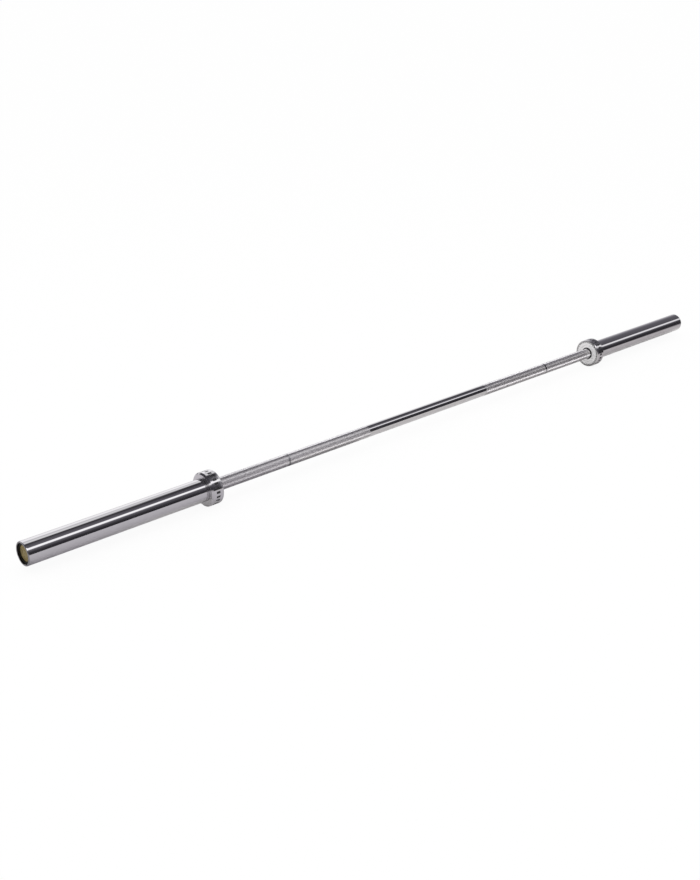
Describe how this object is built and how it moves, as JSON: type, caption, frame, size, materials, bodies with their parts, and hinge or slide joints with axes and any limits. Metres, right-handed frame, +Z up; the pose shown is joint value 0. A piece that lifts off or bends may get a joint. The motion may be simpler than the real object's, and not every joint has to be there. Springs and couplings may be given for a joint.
{
  "type": "olympic barbell",
  "caption": "Long straight steel barbell with a knurled shaft, wide collars and thick free-spinning sleeves on needle bearings, all chromed, with gold coloured end plates.",
  "frame": {"origin": "middle of the bar, on its axis", "axes": "+X along the bar, +Z up; the sleeve at -X is called left"},
  "size_m": [2.2, 0.075, 0.075],
  "materials": {
    "shaft_chrome": "hard chrome, smooth and diamond knurled",
    "sleeve_chrome": "polished hard chrome",
    "collar_chrome": "polished hard chrome",
    "end_plate_gold": "yellow passivated, turned face",
    "seal_rubber": "black nitrile",
    "bearing_steel": "ground bearing steel",
    "washer_steel": "plain steel",
    "spring_steel": "black phosphated spring steel"
  },
  "bodies": {
    "shaft": {"shaft": "shaft_chrome", "left_inner_thrust_washer": "washer_steel", "left_outer_thrust_washer": "washer_steel", "left_snap_ring": "spring_steel", "right_inner_thrust_washer": "washer_steel", "right_outer_thrust_washer": "washer_steel", "right_snap_ring": "spring_steel"},
    "left_sleeve": {"left_sleeve_tube": "sleeve_chrome", "left_collar": "collar_chrome", "left_shaft_seal": "seal_rubber", "left_end_plate": "end_plate_gold", "left_end_plate_clip": "spring_steel", "left_inner_bearing_cup": "bearing_steel", "left_outer_bearing_cup": "bearing_steel"},
    "left_inner_bearing_cage": {"left_inner_bearing_cage": "bearing_steel", "left_inner_bearing_rollers": "bearing_steel"},
    "left_outer_bearing_cage": {"left_outer_bearing_cage": "bearing_steel", "left_outer_bearing_rollers": "bearing_steel"},
    "right_sleeve": {"right_sleeve_tube": "sleeve_chrome", "right_collar": "collar_chrome", "right_shaft_seal": "seal_rubber", "right_end_plate": "end_plate_gold", "right_end_plate_clip": "spring_steel", "right_inner_bearing_cup": "bearing_steel", "right_outer_bearing_cup": "bearing_steel"},
    "right_inner_bearing_cage": {"right_inner_bearing_cage": "bearing_steel", "right_inner_bearing_rollers": "bearing_steel"},
    "right_outer_bearing_cage": {"right_outer_bearing_cage": "bearing_steel", "right_outer_bearing_rollers": "bearing_steel"}
  },
  "joints": [
    {"name": "left_sleeve_spin", "type": "hinge", "parent": "shaft", "child": "left_sleeve", "pos_m": [-0.8775, 0, 0], "axis": [1, 0, 0], "continuous": true},
    {"name": "left_inner_cage_spin", "type": "hinge", "parent": "shaft", "child": "left_inner_bearing_cage", "pos_m": [-0.67972, 0, 0], "axis": [1, 0, 0], "continuous": true},
    {"name": "left_outer_cage_spin", "type": "hinge", "parent": "shaft", "child": "left_outer_bearing_cage", "pos_m": [-1.0485, 0, 0], "axis": [1, 0, 0], "continuous": true},
    {"name": "right_sleeve_spin", "type": "hinge", "parent": "shaft", "child": "right_sleeve", "pos_m": [0.8775, 0, 0], "axis": [1, 0, 0], "continuous": true},
    {"name": "right_inner_cage_spin", "type": "hinge", "parent": "shaft", "child": "right_inner_bearing_cage", "pos_m": [0.67972, 0, 0], "axis": [1, 0, 0], "continuous": true},
    {"name": "right_outer_cage_spin", "type": "hinge", "parent": "shaft", "child": "right_outer_bearing_cage", "pos_m": [1.0485, 0, 0], "axis": [1, 0, 0], "continuous": true}
  ],
  "couplings": [
    {"joint": "left_inner_cage_spin", "follows": "left_sleeve_spin", "ratio": 0.54546},
    {"joint": "left_outer_cage_spin", "follows": "left_sleeve_spin", "ratio": 0.54546},
    {"joint": "right_inner_cage_spin", "follows": "right_sleeve_spin", "ratio": 0.54546},
    {"joint": "right_outer_cage_spin", "follows": "right_sleeve_spin", "ratio": 0.54546}
  ]
}
